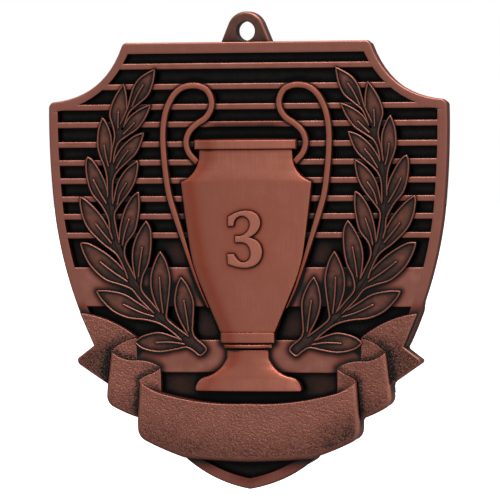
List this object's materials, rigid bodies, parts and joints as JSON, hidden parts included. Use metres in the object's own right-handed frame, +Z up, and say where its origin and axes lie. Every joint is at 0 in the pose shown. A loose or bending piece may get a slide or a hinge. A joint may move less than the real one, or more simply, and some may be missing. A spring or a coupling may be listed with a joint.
{
  "type": "shield award medal",
  "caption": "Shield-shaped cast award medal with a ribbon eye, a two-handled cup and numeral, laurel branches, bars and a folded banner in relief.",
  "frame": {"origin": "centre of the ribbon eye's hole, on the plane halfway through the shield's thickness", "axes": "+Z up towards the eye, +Y out of the flat back, the relief faces -Y, +X to the right seen from the front"},
  "size_m": [0.0646, 0.0054, 0.0745],
  "materials": {
    "patina_recess": "near-black patina in the recesses and dull brown on the back",
    "border_copper": "satin antique copper plate, polished faces with dark patina at the edges",
    "eye_copper": "dark brown antique copper",
    "cup_copper": "brushed satin antique copper with a red cast at the sides",
    "laurel_copper": "polished copper ridges over smoky brown leaves",
    "banner_copper": "stippled antique copper, darker in the folds"
  },
  "bodies": {
    "root": {"shield_plate": "patina_recess", "border_frame": "border_copper", "suspension_eye": "eye_copper", "bar_01": "border_copper", "bar_02": "border_copper", "bar_03": "border_copper", "bar_04": "border_copper", "bar_05": "border_copper", "bar_06": "border_copper", "bar_07": "border_copper", "bar_08": "border_copper", "bar_09": "border_copper", "bar_10": "border_copper", "band_upper": "border_copper", "band_lower": "border_copper", "cup_lip": "cup_copper", "cup_body": "cup_copper", "cup_collar": "cup_copper", "cup_ring": "cup_copper", "cup_foot": "cup_copper", "handle_left": "cup_copper", "handle_right": "cup_copper", "numeral_3": "cup_copper", "laurel_stem_left": "laurel_copper", "laurel_stem_right": "laurel_copper", "laurel_outer_leaves_left": "laurel_copper", "laurel_outer_leaves_right": "laurel_copper", "laurel_inner_leaves_left": "laurel_copper", "laurel_inner_leaves_right": "laurel_copper", "banner_center": "banner_copper", "banner_fold_left": "banner_copper", "banner_fold_right": "banner_copper", "banner_mid_left": "banner_copper", "banner_mid_right": "banner_copper", "banner_turn_left": "banner_copper", "banner_turn_right": "banner_copper", "banner_tail_left": "banner_copper", "banner_tail_right": "banner_copper"}
  },
  "joints": []
}
